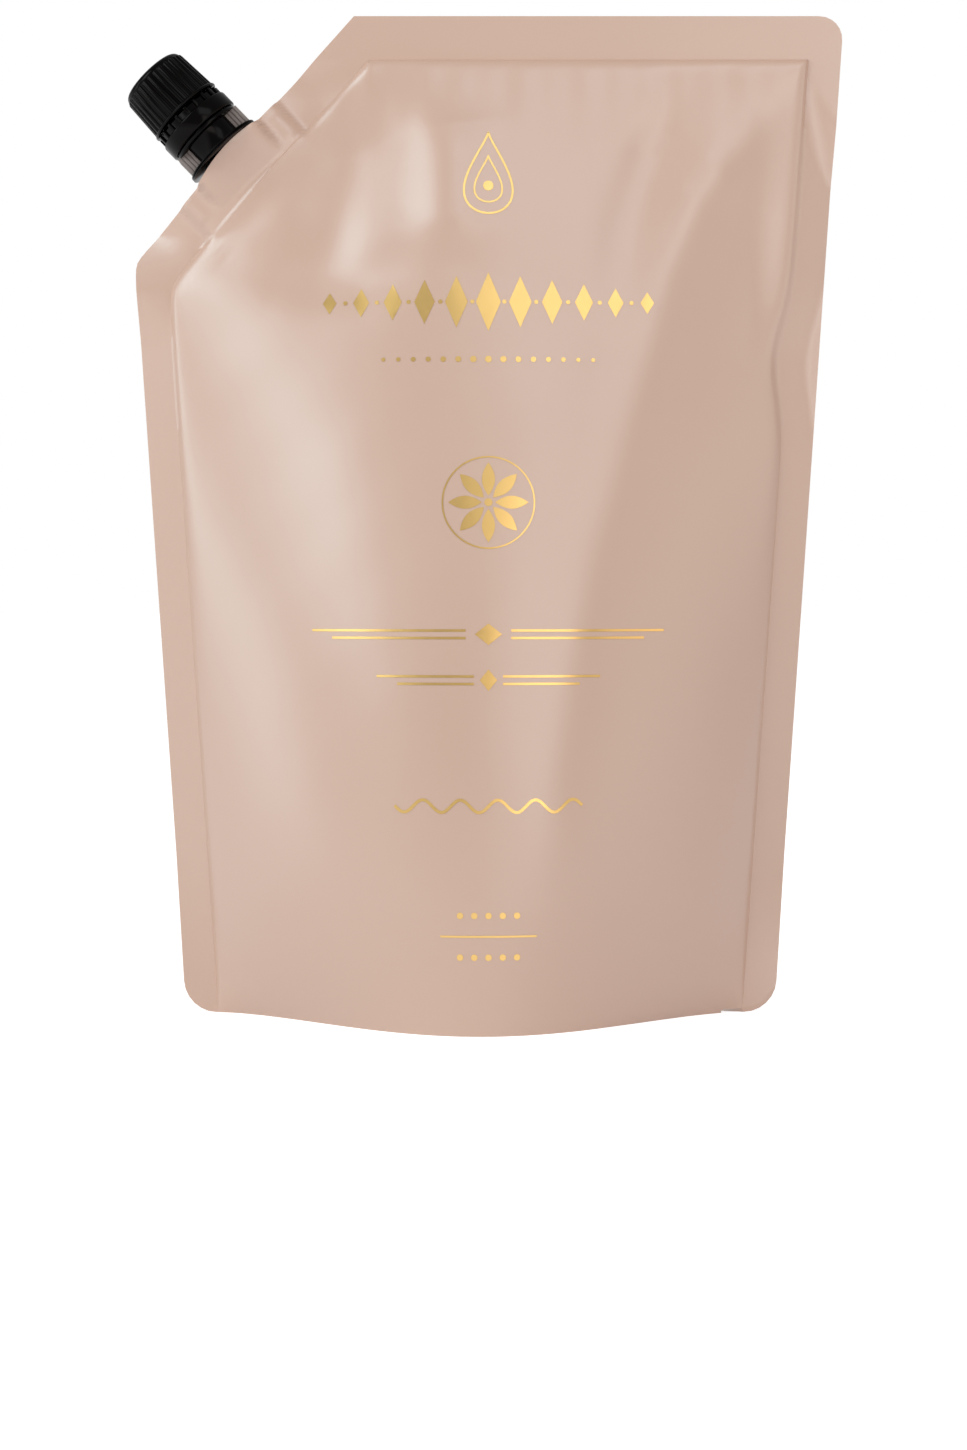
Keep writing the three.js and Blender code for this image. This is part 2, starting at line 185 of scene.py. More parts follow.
left_seal = soft_max(-half_chord(rows_z) + SIDE_SEAL, cut_x(rows_z) + CUT_SEAL / math.sin(cut_angle), CUT_RADIUS)
widening = WIDE_SEAL * np.exp(-(((rows_z - WIDE_SEAL_AT) / WIDE_SEAL_REACH) ** 2))
right_seal = half_chord(rows_z) - SIDE_SEAL - widening

shares = np.linspace(0, 1, INNER_COLUMNS + 1)
shares = (shares + 0.5 - 0.5 * np.cos(math.pi * shares)) / 2
left_shares = np.linspace(0, 1, LEFT_COLUMNS, endpoint=False)
right_shares = np.linspace(0, 1, RIGHT_COLUMNS + 1)[1:]
film_x = np.concatenate([
    left_edge[:, None] + (left_seal - left_edge)[:, None] * left_shares,
    left_seal[:, None] + (right_seal - left_seal)[:, None] * shares,
    right_seal[:, None] + (right_edge - right_seal)[:, None] * right_shares,
], axis=1)
film_z = np.repeat(rows_z[:, None], film_x.shape[1], axis=1)
ROWS, COLUMNS = film_x.shape

# Places in the spout's own frame: along the cut, and outwards from the film's edge.
to_spout = spout_frame.inverted()
film_points = np.stack([film_x * MM, film_x * 0, film_z * MM, film_x * 0 + 1], axis=-1)
local = film_points @ np.array(to_spout).T / MM
along_cut, out_of_cut = local[..., 0], local[..., 2]


def boat_half(along, inward):
    """Half thickness of the boat at a place along it and inward from its top, from 0 to 1: a shallow pillow over the
    barrel that thins inwards, a crease at each side of it, then a thin wing."""
    aside = np.abs(along)
    pillow = (BOAT_DEPTH / 2 - BARREL_CROWN * (aside / BARREL_HALF) ** 2) * (1 - BOAT_TAPER * inward)
    wing = np.clip((BOAT_LENGTH / 2 - aside) / (BOAT_LENGTH / 2 - BARREL_HALF), 0, 1)
    blend = np.clip((aside - BARREL_HALF) / BARREL_CREASE, 0, 1)
    return pillow * (1 - blend) + WING_DEPTH * wing ** 0.5 * (1 - WING_TAPER * inward) * blend


# What holds the film: the seals, the boat with a little to spare round it, and the foot.
BOAT_MARGIN = 0.6
BOAT_TIP = 1.8
sealed = np.zeros(film_x.shape, bool)
sealed[:, :LEFT_COLUMNS + 1] = True
sealed[:, -RIGHT_COLUMNS - 1:] = True
sealed[film_z[:, 0] > seal_line - 0.01] = True
to_tip = BOAT_LENGTH / 2 + BOAT_MARGIN - np.abs(along_cut)
over_boat = (to_tip > 0) & (out_of_cut > -BOAT_HEIGHT - BOAT_MARGIN / 2)
over_boat[:, :LEFT_COLUMNS + 1] |= to_tip[:, :LEFT_COLUMNS + 1] > 0
held = sealed | over_boat
held[0] = True
depth_held = np.where(sealed, FILM_HALF, 0.0)
inward = np.clip(-out_of_cut / BOAT_HEIGHT, 0, 1)
tip = np.clip(to_tip / BOAT_TIP, 0, 1)
tip = tip * tip * (3 - 2 * tip)
depth_held = np.where(over_boat, FILM_HALF + (boat_half(along_cut, inward) + FILM_OVER_BOAT) * tip, depth_held)
foot_half = half_chord(0) - SIDE_SEAL
swell = 0.5 + 0.5 * np.cos(math.pi * np.minimum(np.abs(film_x[0]) / foot_half, 1))
depth_held[0] = FILM_HALF + (SKIRT_DEPTH - FILM_HALF) * swell ** SKIRT_FLATNESS

# The free film is relaxed like a stretched skin under the head of the liquid, in two solutions that are then mixed
# so that the belly stands out as far as it should.
RELAX_STEPS = 900
RELAX_FACTOR = 1.965
TRIAL_LOAD = 0.02
left_gap = film_x[1:-1, 1:-1] - film_x[1:-1, :-2]
right_gap = film_x[1:-1, 2:] - film_x[1:-1, 1:-1]
down_gap = film_z[1:-1, 1:-1] - film_z[:-2, 1:-1]
up_gap = film_z[2:, 1:-1] - film_z[1:-1, 1:-1]
tall, wide = (down_gap + up_gap) / 2, (left_gap + right_gap) / 2
pulls = [tall / left_gap, tall / right_gap, wide / down_gap, wide / up_gap]
pull_sum = sum(pulls)
head = np.maximum(FILL_LEVEL - film_z[1:-1, 1:-1], 0) / FILL_LEVEL + FILM_STIFFNESS
load = head * tall * wide
free = ~held[1:-1, 1:-1]
checker = np.add.outer(np.arange(ROWS - 2), np.arange(COLUMNS - 2)) % 2
turns = [free & (checker == colour) for colour in (0, 1)]


def relaxed(strength):
    depth = depth_held.copy()
    core = depth[1:-1, 1:-1]
    for _ in range(RELAX_STEPS):
        for turn in turns:
            aim = (
                pulls[0] * depth[1:-1, :-2] + pulls[1] * depth[1:-1, 2:]
                + pulls[2] * depth[:-2, 1:-1] + pulls[3] * depth[2:, 1:-1] + load * strength
            ) / pull_sum
            core[turn] += (aim[turn] - core[turn]) * RELAX_FACTOR
    return depth


slack, loaded = relaxed(0), relaxed(TRIAL_LOAD)
belly_row = int(np.searchsorted(rows_z, BELLY_HEIGHT))
middle = LEFT_COLUMNS + INNER_COLUMNS // 2
share = (BELLY_DEPTH - SEAL_LIP - slack[belly_row, middle]) / (loaded[belly_row, middle] - slack[belly_row, middle])
depth = slack + share * (loaded - slack)


# Behind the boat the film comes down from it in a short slope, and meets the panel in a shallow valley.
BOAT_SLOPE = 13
VALLEY_BLEND = 1
behind = np.clip((-out_of_cut - BOAT_HEIGHT) / BOAT_SLOPE, 0, 1)
slope = (1 - behind * behind * (3 - 2 * behind)) * tip
cover = (boat_half(along_cut, 1) + FILM_OVER_BOAT) * slope
depth = np.where(over_boat | sealed, depth, soft_max(depth, cover, VALLEY_BLEND))

# The wings' end ribs are pressed through the film, and over the barrel its edge reaches out to the flange.
END_RIB_HEIGHT = 0.45
END_RIB_ASIDE = 15.4
END_RIB_REACH = 1.2
end_rib = END_RIB_HEIGHT * np.exp(-(((np.abs(along_cut) - END_RIB_ASIDE) / END_RIB_REACH) ** 2))
end_rib *= np.clip(-out_of_cut - 0.8, 0, 1)
depth += end_rib * np.clip(out_of_cut + 8.4, 0, 1) * over_boat
edge_reach = EDGE_OVER_BARREL * np.clip(1 - (along_cut / (BARREL_HALF + 0.4)) ** 2, 0, 1) * over_boat
edge_reach *= np.clip(1 - np.arange(COLUMNS) / LEFT_COLUMNS, 0, 1)


def fold(points, reach):
    """A soft fold along a line of (x, z, height) points: a ridge where the height is above 0, a valley below."""
    nearest = np.full(film_x.shape, 1e9)
    height = np.zeros(film_x.shape)
    for (x0, z0, h0), (x1, z1, h1) in zip(points, points[1:]):
        dx, dz = x1 - x0, z1 - z0
        t = np.clip(((film_x - x0) * dx + (film_z - z0) * dz) / (dx * dx + dz * dz), 0, 1)
        away = np.hypot(film_x - x0 - t * dx, film_z - z0 - t * dz)
        height = np.where(away < nearest, h0 + (h1 - h0) * t, height)
        nearest = np.minimum(nearest, away)
    return height * np.exp(-((nearest / reach) ** 2))


# The folds of the front panel, each with its reach to either side and the points along it.
FOLDS = [
    # a shallow valley beside the upper end of the cut's seal
    (6, [(-56, 205, 0), (-40, 226, -0.9), (-35, 234, -1.3), (-33, 240, -0.8)]),
    # the long ridge from the top right corner to the foot, and the valleys at its left and right
    (8, [(83, 241, 1.0), (68, 224, 2.2), (54, 205, 1.9), (47, 188, 1.3), (42, 165, 1.0), (37, 146, 0.9),
         (30, 120, 0.7), (21, 80, 0.5), (17, 26, 0.2)]),
    (7, [(53, 239, -0.5), (43, 216, -1.5), (36, 197, -0.9), (33, 176, 0)]),
    (8, [(80, 222, -0.5), (74, 200, -1.4), (72, 180, -1.2), (70, 160, 0)]),
    # the valley behind the spout, the short ridge right of it, and the broad swell that this ridge stands on
    (9, [(-31, 241, -0.5), (-34, 216, -1.5), (-38, 194, -1.9), (-41, 184, -1.0)]),
    (8.5, [(-13, 240, 1.0), (-9, 218, 1.9), (-8.5, 200, 2.1), (-13, 190, 0.7)]),
    (17, [(-3, 238, 0.3), (0, 222, 0.9), (-1, 204, 1.2), (-5, 186, 0.8)]),
    # the valley across the panel from the lower corner of the cut
    (8, [(-66, 192, -0.6), (-50, 187, -1.7), (-30, 184, -1.8), (-8, 189, -0.8)]),
]
FOLD_FULL_DEPTH = 3.2
folds = sum(fold(points, reach) for reach, points in FOLDS)
off_boat = 1 - np.where(over_boat, tip, slope)
folds *= np.minimum(depth / FOLD_FULL_DEPTH, 1) * off_boat

# Just inside the seals the film stands up in a small lip, which fades out towards the foot.
LIP_FOOT_FADE = 30
inside_seals = np.minimum.reduce([film_x - left_seal[:, None], right_seal[:, None] - film_x, seal_line - film_z])
inside_seals = np.maximum(inside_seals, 0)
above_foot = np.clip(film_z / LIP_FOOT_FADE, 0, 1)
lip = SEAL_LIP * (1 - np.exp(-inside_seals / LIP_REACH)) * above_foot * off_boat

# Small puckers run in from the top and cut seals, and the free panel is never quite even.
PUCKERS_INSIDE = 4
from_top = np.maximum(seal_line - film_z, 0)
from_cut = np.maximum(-out_of_cut - CUT_SEAL, 0)
puckers = (
    0.30 * np.sin(film_x * 0.62 + 0.8) * np.sin(film_x * 0.17) * np.exp(-from_top / 9)
    + 0.22 * np.sin(along_cut * 0.47 + 1.3) * np.exp(-from_cut / 7)
    + 0.12 * np.sin(film_x * 0.13 + film_z * 0.04) * np.sin(film_z * 0.09 - film_x * 0.03 + 1)
    + 0.03 * np.sin(film_x * 0.24 - film_z * 0.1 + 2) * np.sin(film_z * 0.17 + 0.4)
)
puckers *= (1 - np.exp(-inside_seals / PUCKERS_INSIDE)) * off_boat * above_foot
front_y = -depth - folds - lip - puckers
back_y = depth + lip

# The side fins bend back a little from the panels, below a crease at each top corner, and the cut's fin less so. The
# foot's right half curls up a little in front.
FIN_BEND = 2.9
CUT_FIN_BEND = 2.6
FIN_CREASE = 14
FIN_CREASE_LENGTH = 16
SPOUT_FADE = 9
SEAL_FADE = 10
FOOT_FADE = 40
FOOT_CURL = 1.3
FOOT_CURL_HEIGHT = 15
right_out = np.clip((film_x - right_seal[:, None]) / SIDE_SEAL, 0, 1)
left_out = np.clip((left_seal - film_x.T).T / (left_seal - left_edge)[:, None], 0, 1)
right_start = np.clip((POUCH_HEIGHT - FIN_CREASE * (1 + right_out) - film_z) / FIN_CREASE_LENGTH, 0, 1)
left_start = np.clip((cut_low_z - 6 - film_z) / FIN_CREASE, 0, 1)
foot_fade = np.clip(film_z / FOOT_FADE, 0, 1)
cut_start = np.clip((film_z - cut_low_z + 8) / FIN_CREASE, 0, 1) * np.clip((seal_line - film_z) / SEAL_FADE, 0, 1)
cut_start *= np.clip((np.abs(along_cut) - BOAT_LENGTH / 2) / SPOUT_FADE, 0, 1)
bend = FIN_BEND * (right_out * right_start + left_out * left_start) * foot_fade + CUT_FIN_BEND * left_out * cut_start
lift = FOOT_CURL * np.clip((film_x - 20) / 50, 0, 1) ** 2 * np.exp(-film_z / FOOT_CURL_HEIGHT)
front_y += bend
back_y += bend


WALL_STEPS = 14
GUSSET_STEPS = 36
GUSSET_SETTLE = 0.5
GUSSET_PRESS = 0.02


def film_mesh():
    """The closed skin of the pouch: front, back, edges, skirts and the gusset between them."""
    verts, faces = [], []

    def add_grid(xs, ys, zs):
        start = len(verts)
        verts.extend(zip(xs.ravel() * MM, ys.ravel() * MM, zs.ravel() * MM))
        return start + np.arange(xs.size).reshape(xs.shape)

    def skin(grid):
        corners = (grid[:-1, :-1], grid[:-1, 1:], grid[1:, 1:], grid[1:, :-1])
        faces.extend(np.stack([c.ravel() for c in corners], axis=1).tolist())

    reached_x, reached_z = film_x + edge_reach * spout_axis.x, film_z + edge_reach * spout_axis.z
    front = add_grid(reached_x, front_y, reached_z + lift)
    back = add_grid(reached_x, back_y, reached_z)
    skin(front)
    skin(back[:, ::-1])
    skin(np.stack([front[-1], back[-1]]))
    skin(np.stack([front[:, 0], back[:, 0]], axis=1)[::-1])
    skin(np.stack([front[:, -1], back[:, -1]], axis=1))

    reach = half_chord(0) - SIDE_SEAL - FOOT_CORNER
    inside = np.nonzero(np.abs(film_x[0]) < reach)[0]
    first, last = inside[0], inside[-1]
    for line in (slice(0, first + 1), slice(last, COLUMNS)):
        skin(np.stack([back[0, line], front[0, line]]))
    foot_x, foot_y, foot_z = [], [], []
    for column in range(first, last + 1):
        share_out = abs(film_x[0, column]) / reach
        seal_height = FOOT_SEAL_MIDDLE + (FOOT_SEAL_SIDE - FOOT_SEAL_MIDDLE) * share_out ** 2
        wall_z = np.linspace(0, seal_height, WALL_STEPS + 1)
        wall_x = np.interp(wall_z, rows_z, film_x[:, column])
        wall_front = np.interp(wall_z, rows_z, front_y[:, column]) + SKIRT_WALL
        wall_back = np.interp(wall_z, rows_z, back_y[:, column]) - SKIRT_WALL
        across = np.linspace(0, 1, GUSSET_STEPS + 1)[1:-1]
        sag = (seal_height + GUSSET_SAG) * (1 - share_out ** GUSSET_FLATNESS)
        gusset_z = seal_height - sag * (1 - (2 * across - 1) ** 2)
        gusset_z = (gusset_z + np.sqrt(gusset_z ** 2 + GUSSET_SETTLE)) / 2 - GUSSET_PRESS
        gusset_y = wall_front[-1] + (wall_back[-1] - wall_front[-1]) * across
        foot_x.append(np.concatenate([wall_x, gusset_y * 0 + wall_x[-1], wall_x[::-1]]))
        foot_y.append(np.concatenate([wall_front, gusset_y, wall_back[::-1]]))
        foot_z.append(np.concatenate([wall_z, np.maximum(gusset_z, 0), wall_z[::-1]]))
    foot = add_grid(np.array(foot_x), np.array(foot_y), np.array(foot_z))
    skin(foot)
    skin(np.stack([foot[:, 0], front[0, first:last + 1]]))
    skin(np.stack([back[0, first:last + 1], foot[:, -1]]))
    faces.append([back[0, first]] + foot[0].tolist()[::-1] + [front[0, first]])
    faces.append([front[0, last]] + foot[-1].tolist() + [back[0, last]])

    mesh = bpy.data.meshes.new("film")
    mesh.from_pydata([tuple(map(float, v)) for v in verts], [], [[int(i) for i in f] for f in faces])
    work = bmesh.new()
    work.from_mesh(mesh)
    bmesh.ops.remove_doubles(work, verts=work.verts, dist=1e-6)
    bmesh.ops.recalc_face_normals(work, faces=work.faces)
    work.to_mesh(mesh)
    work.free()
    return mesh


film = bpy.data.objects.new("film_pouch", film_mesh())
bpy.context.scene.collection.objects.link(film)


def linear(hex_colour):
    """An sRGB hex colour as the linear RGBA that a shader takes."""
    parts = [int(hex_colour[i:i + 2], 16) / 255 for i in (1, 3, 5)]
    return [c / 12.92 if c <= 0.04045 else ((c + 0.055) / 1.055) ** 2.4 for c in parts] + [1]


def add_node(material, kind, settings=None, inputs=None, links=None):
    """Adds one node to a material or world: settings are its own values, inputs its sockets' values, and links what
    feeds its sockets."""
    node = material.node_tree.nodes.new(kind)
    for name, value in (settings or {}).items():
        setattr(node, name, value)
    for name, value in (inputs or {}).items():
        node.inputs[name].default_value = value
    for name, socket in (links or {}).items():
        material.node_tree.links.new(socket, node.inputs[name])
    return node


def new_material(name):
    material = bpy.data.materials.new(name)
    material.use_nodes = True
    material.node_tree.nodes.clear()
    return material


def matt_laminate():
    """Matt-lacquered pearl laminate: soft wide highlights over a blush ground, with the faint orange peel of film
    that was laminated and filled."""
    m = new_material("matt_lacquered_pearl_laminate")
    place = add_node(m, "ShaderNodeTexCoord").outputs["Object"]
    peel = add_node(m, "ShaderNodeTexNoise", None, {"Scale": 260.0, "Detail": 3.0}, {"Vector": place})
    cloud = add_node(m, "ShaderNodeTexNoise", None, {"Scale": 18.0, "Detail": 2.0}, {"Vector": place})
    tone = add_node(m, "ShaderNodeMix", {"data_type": "RGBA"}, None, {"Factor": cloud.outputs["Fac"]})
    tone.inputs["A"].default_value = linear("#ceaa97")
    tone.inputs["B"].default_value = linear("#d1ad9a")
    rough = add_node(m, "ShaderNodeMapRange", None, {"To Min": 0.29, "To Max": 0.34},
                     {"Value": cloud.outputs["Fac"]})
    bump = add_node(m, "ShaderNodeBump", None, {"Strength": 0.12, "Distance": 0.00006},
                    {"Height": peel.outputs["Fac"]})
    shader = add_node(m, "ShaderNodeBsdfPrincipled", None,
                      {"IOR": 1.5, "Specular IOR Level": 1.0, "Specular Tint": (0.76, 0.93, 1.0, 1)},
                      {"Base Color": tone.outputs["Result"], "Roughness": rough.outputs["Result"],
                       "Normal": bump.outputs["Normal"]})
    add_node(m, "ShaderNodeOutputMaterial", None, None, {"Surface": shader.outputs["BSDF"]})
    return m


film.data.materials.append(matt_laminate())


def shade(piece, degrees):
    bpy.ops.object.select_all(action="DESELECT")
    piece.select_set(True)
    bpy.context.view_layer.objects.active = piece
    bpy.ops.object.shade_smooth_by_angle(angle=math.radians(degrees))


shade(film, 40)
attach(film, "root")
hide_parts("pouch")


# Spout
# Injection-moulded polyethylene, black: a boat that is welded between the panels in the cut, and above it two side
# lugs between a flange and the tamper band's seat, for the filling machine's rails, then the neck with its thread.
BORE_RADIUS = 5.9
NECK_RADIUS = 7.05
NECK_BOTTOM = -1.9
MOUTH = 26.4
MOUTH_CHAMFER = 0.6
FLANGE_RADIUS = 10.75
FLANGE_BOTTOM = 1.3
FLANGE_TOP = 2.2
FLANGE_GROOVE = 0.35
SEAT_RADIUS = 9.6
SEAT_BOTTOM = 7.4
SEAT_TOP = 8.2
BEAD_RADIUS = 8.2
BEAD_BOTTOM = 9.9
BEAD_TOP = 11.1
THREAD_PITCH = 4
THREAD_START = 17.4
BOAT_TOP = -1.4
BOAT_SHOWN = 7.2
BOAT_SIDES = 72
BOAT_RIBS = 4
RIB_HEIGHT = 0.9
RIB_PITCH = (BOAT_SHOWN - RIB_HEIGHT) / (BOAT_RIBS - 1)
GROOVE_LENGTH_SHARE = 0.96
GROOVE_DEPTH_SHARE = 0.9
UNDER_FILM = 0.3
BOAT_TIP_HALF = 0.25
LUG_INNER = 6.0
LUG_OUTER = 10.0
LUG_HALF_WIDTH = 3.0
LUG_RIBS = 4
LUG_RIB_WIDTH = 0.8
LUG_RIB_PITCH = 1.0
LUG_RIB_STANDS = 0.35


def apply_place():
    bpy.ops.object.transform_apply(location=True, rotation=True, scale=True)


def turned(name, profile, segments, filled):
    """A turned shape: a circle extruded and resized along its profile of (radius, height) points. A filled one is
    closed by its first and last circles, and a ring comes back to its first point."""
    bpy.ops.object.select_all(action="DESELECT")
    radius, height = profile[0]
    bpy.ops.mesh.primitive_circle_add(vertices=segments, radius=radius * MM, location=(0, 0, height * MM),
                                      fill_type="NGON" if filled else "NOTHING")
    piece = bpy.context.active_object
    piece.name = piece.data.name = name
    apply_place()
    bpy.ops.object.mode_set(mode="EDIT")
    bpy.ops.mesh.select_all(action="SELECT")
    for next_radius, next_height in profile[1:]:
        bpy.ops.mesh.extrude_region_move(TRANSFORM_OT_translate={"value": (0, 0, (next_height - height) * MM)})
        grow = next_radius / radius
        bpy.ops.transform.resize(value=(grow, grow, 1), center_override=(0, 0, 0))
        radius, height = next_radius, next_height
    bpy.ops.mesh.select_all(action="SELECT")
    bpy.ops.mesh.remove_doubles(threshold=1e-6)
    bpy.ops.mesh.normals_make_consistent(inside=False)
    bpy.ops.object.mode_set(mode="OBJECT")
    return piece


def bevelled(piece, width):
    bpy.context.view_layer.objects.active = piece
    bevel = piece.modifiers.new("edge", "BEVEL")
    bevel.width, bevel.segments = width * MM, 2
    bevel.limit_method, bevel.angle_limit = "ANGLE", math.radians(35)
    bpy.ops.object.modifier_apply(modifier=bevel.name)
    return piece


def block(name, low, high):
    """A moulded block between two corners, its edges rounded."""
    bpy.ops.object.select_all(action="DESELECT")
    middle = [(a + b) / 2 * MM for a, b in zip(low, high)]
    bpy.ops.mesh.primitive_cube_add(size=1, location=middle)
    piece = bpy.context.active_object
    piece.name = piece.data.name = name
    piece.scale = [(b - a) * MM for a, b in zip(low, high)]
    apply_place()
    return bevelled(piece, 0.12)


def joined(piece, others):
    bpy.ops.object.select_all(action="DESELECT")
    for other in others:
        other.select_set(True)
    piece.select_set(True)
    bpy.context.view_layer.objects.active = piece
    bpy.ops.object.join()
    return piece


STEPS_PER_TURN = 40
THREAD_POINT = 0.15


def thread_bead(name, radius, bead, start_turn, turns, start):
    """A round bead wound up the axis, with pointed ends."""
    curve = bpy.data.curves.new(name, "CURVE")
    curve.dimensions, curve.bevel_depth, curve.bevel_resolution = "3D", bead * MM, 3
    curve.use_fill_caps = True
    steps = round(turns * STEPS_PER_TURN)
    line = curve.splines.new("POLY")
    line.points.add(steps)
    for i, point in enumerate(line.points):
        turn = start_turn + turns * i / steps
        angle = turn * math.tau
        height = start + turn * THREAD_PITCH
        point.co = (radius * math.cos(angle) * MM, radius * math.sin(angle) * MM, height * MM, 1)
        point.radius = min(1, THREAD_POINT + min(i, steps - i) / 5)
    wound = bpy.data.objects.new(name, curve)
    bpy.context.scene.collection.objects.link(wound)
    bpy.ops.object.select_all(action="DESELECT")
    wound.select_set(True)
    bpy.context.view_layer.objects.active = wound
    bpy.ops.object.convert(target="MESH")
    return bpy.context.active_object


def on_spout(piece, body, node, material):
    """Puts a piece that was made upright on the spout's axis."""
    piece.data.materials.clear()
    piece.data.materials.append(material)
    piece.data.transform(spout_frame)
    shade(piece, 32)
    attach(piece, body)
    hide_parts(node)


def moulded_black(name, hex_colour, roughness):
    """Polyethylene or polypropylene coloured with carbon black: deep, with a soft gloss from the polished mould, and
    a very fine unevenness from shrinkage. Its grain is drawn at 0.4 mm, coarser than the real one, so that it shows.
    Given a pale colour, as on the lugs, its paleness is a painted highlight for the glint of the front lights, and
    the roughness passed in is higher."""
    m = new_material(name)
    place = add_node(m, "ShaderNodeTexCoord").outputs["Object"]
    grain = add_node(m, "ShaderNodeTexNoise", None, {"Scale": 2500.0, "Detail": 2.0}, {"Vector": place})
    cloud = add_node(m, "ShaderNodeTexNoise", None, {"Scale": 220.0, "Detail": 2.0}, {"Vector": place})
    rough = add_node(m, "ShaderNodeMapRange", None, {"To Min": roughness - 0.05, "To Max": roughness + 0.06},
                     {"Value": cloud.outputs["Fac"]})
    bump = add_node(m, "ShaderNodeBump", None, {"Strength": 0.05, "Distance": 0.00002},
                    {"Height": grain.outputs["Fac"]})
    shader = add_node(m, "ShaderNodeBsdfPrincipled", None,
                      {"Base Color": linear(hex_colour), "IOR": 1.51, "Specular IOR Level": 0.08,
                       "Specular Tint": (1.0, 0.93, 0.91, 1)},
                      {"Roughness": rough.outputs["Result"], "Normal": bump.outputs["Normal"]})
    add_node(m, "ShaderNodeOutputMaterial", None, None, {"Surface": shader.outputs["BSDF"]})
    return m


# The neck is turned from its bore's lower end outwards, up over both flanges and the bead, and down the bore.
spout = turned("spout_neck", [
    (BORE_RADIUS, NECK_BOTTOM), (6.2, NECK_BOTTOM), (6.2, BOAT_TOP), (6.5, FLANGE_BOTTOM),
    (FLANGE_RADIUS, FLANGE_BOTTOM), (FLANGE_RADIUS, 1.62), (FLANGE_RADIUS - FLANGE_GROOVE, 1.75),
    (FLANGE_RADIUS, 1.88), (FLANGE_RADIUS, FLANGE_TOP), (NECK_RADIUS, FLANGE_TOP),
    (NECK_RADIUS, SEAT_BOTTOM), (SEAT_RADIUS, SEAT_BOTTOM), (SEAT_RADIUS, SEAT_TOP), (NECK_RADIUS, SEAT_TOP),
    (NECK_RADIUS, BEAD_BOTTOM), (BEAD_RADIUS, BEAD_BOTTOM), (NECK_RADIUS, BEAD_TOP),
    (NECK_RADIUS, MOUTH - MOUTH_CHAMFER), (NECK_RADIUS - MOUTH_CHAMFER, MOUTH), (BORE_RADIUS, MOUTH),
    (BORE_RADIUS, NECK_BOTTOM),
], 96, filled=False)
bevelled(spout, 0.08)

# The boat starts as a circle, pulled into the lens shape under the film, and goes down rib by rib.
bpy.ops.object.select_all(action="DESELECT")
bpy.ops.mesh.primitive_circle_add(vertices=BOAT_SIDES, radius=1, fill_type="NGON")
boat = bpy.context.active_object
boat_shares = [
    1 - BOAT_TAPER * (RIB_HEIGHT - BOAT_TOP + rib * RIB_PITCH) / BOAT_HEIGHT for rib in range(BOAT_RIBS)
]
for vertex in boat.data.vertices:
    along = vertex.co.x * (BOAT_LENGTH / 2 - 0.8)
    thick = max(float(boat_half(abs(np.array(along)) + 1, 0)) * boat_shares[0] - UNDER_FILM, BOAT_TIP_HALF)
    vertex.co = (along * MM, math.copysign(thick, vertex.co.y) * MM, BOAT_TOP * MM)
bpy.ops.object.mode_set(mode="EDIT")
bpy.ops.mesh.select_all(action="SELECT")
for rib in range(BOAT_RIBS):
    bpy.ops.mesh.extrude_region_move(TRANSFORM_OT_translate={"value": (0, 0, -RIB_HEIGHT * MM)})
    if rib < BOAT_RIBS - 1:
        deeper = boat_shares[rib + 1] / boat_shares[rib]
        bpy.ops.mesh.extrude_region_move()
        bpy.ops.transform.resize(value=(GROOVE_LENGTH_SHARE, GROOVE_DEPTH_SHARE, 1), center_override=(0, 0, 0))
        bpy.ops.mesh.extrude_region_move(TRANSFORM_OT_translate={"value": (0, 0, -(RIB_PITCH - RIB_HEIGHT) * MM)})
        bpy.ops.mesh.extrude_region_move()
        bpy.ops.transform.resize(value=(1 / GROOVE_LENGTH_SHARE, deeper / GROOVE_DEPTH_SHARE, 1),
                                 center_override=(0, 0, 0))
bpy.ops.mesh.select_all(action="SELECT")
bpy.ops.mesh.normals_make_consistent(inside=False)
bpy.ops.object.mode_set(mode="OBJECT")
neck_thread = thread_bead("neck_thread", NECK_RADIUS - 0.1, 0.8, 0, 1.75, THREAD_START)
joined(spout, [boat, neck_thread])
on_spout(spout, "root", "spout", moulded_black("black_polyethylene_polished", "#040303", 0.16))

# The lugs' ribbed faces slide along the filling machine's rails. Their pale colour is a painted highlight, standing
# in for the glint of the front lights on them.
lugs = []
for side in (-1, 1):
    left, right = sorted((side * LUG_INNER, side * LUG_OUTER))
    lugs.append(block("lug", (left, -LUG_HALF_WIDTH, 2.0), (right, LUG_HALF_WIDTH, SEAT_BOTTOM + 0.2)))
    for rib in range(LUG_RIBS):
        start, stands = left + 0.1 + rib * LUG_RIB_PITCH, LUG_HALF_WIDTH + LUG_RIB_STANDS
        lugs.append(block("lug_rib", (start, -stands, 2.1), (start + LUG_RIB_WIDTH, stands, SEAT_BOTTOM + 0.1)))
side_lugs = joined(lugs[0], lugs[1:])
side_lugs.name = side_lugs.data.name = "spout_lugs"
# Painted highlight: a pale colour on the black lugs in place of the light's glint on their faces.
painted_glint_black = moulded_black("black_polyethylene_painted_pale_glint", "#8d827e", 0.45)
on_spout(side_lugs, "root", "spout", painted_glint_black)


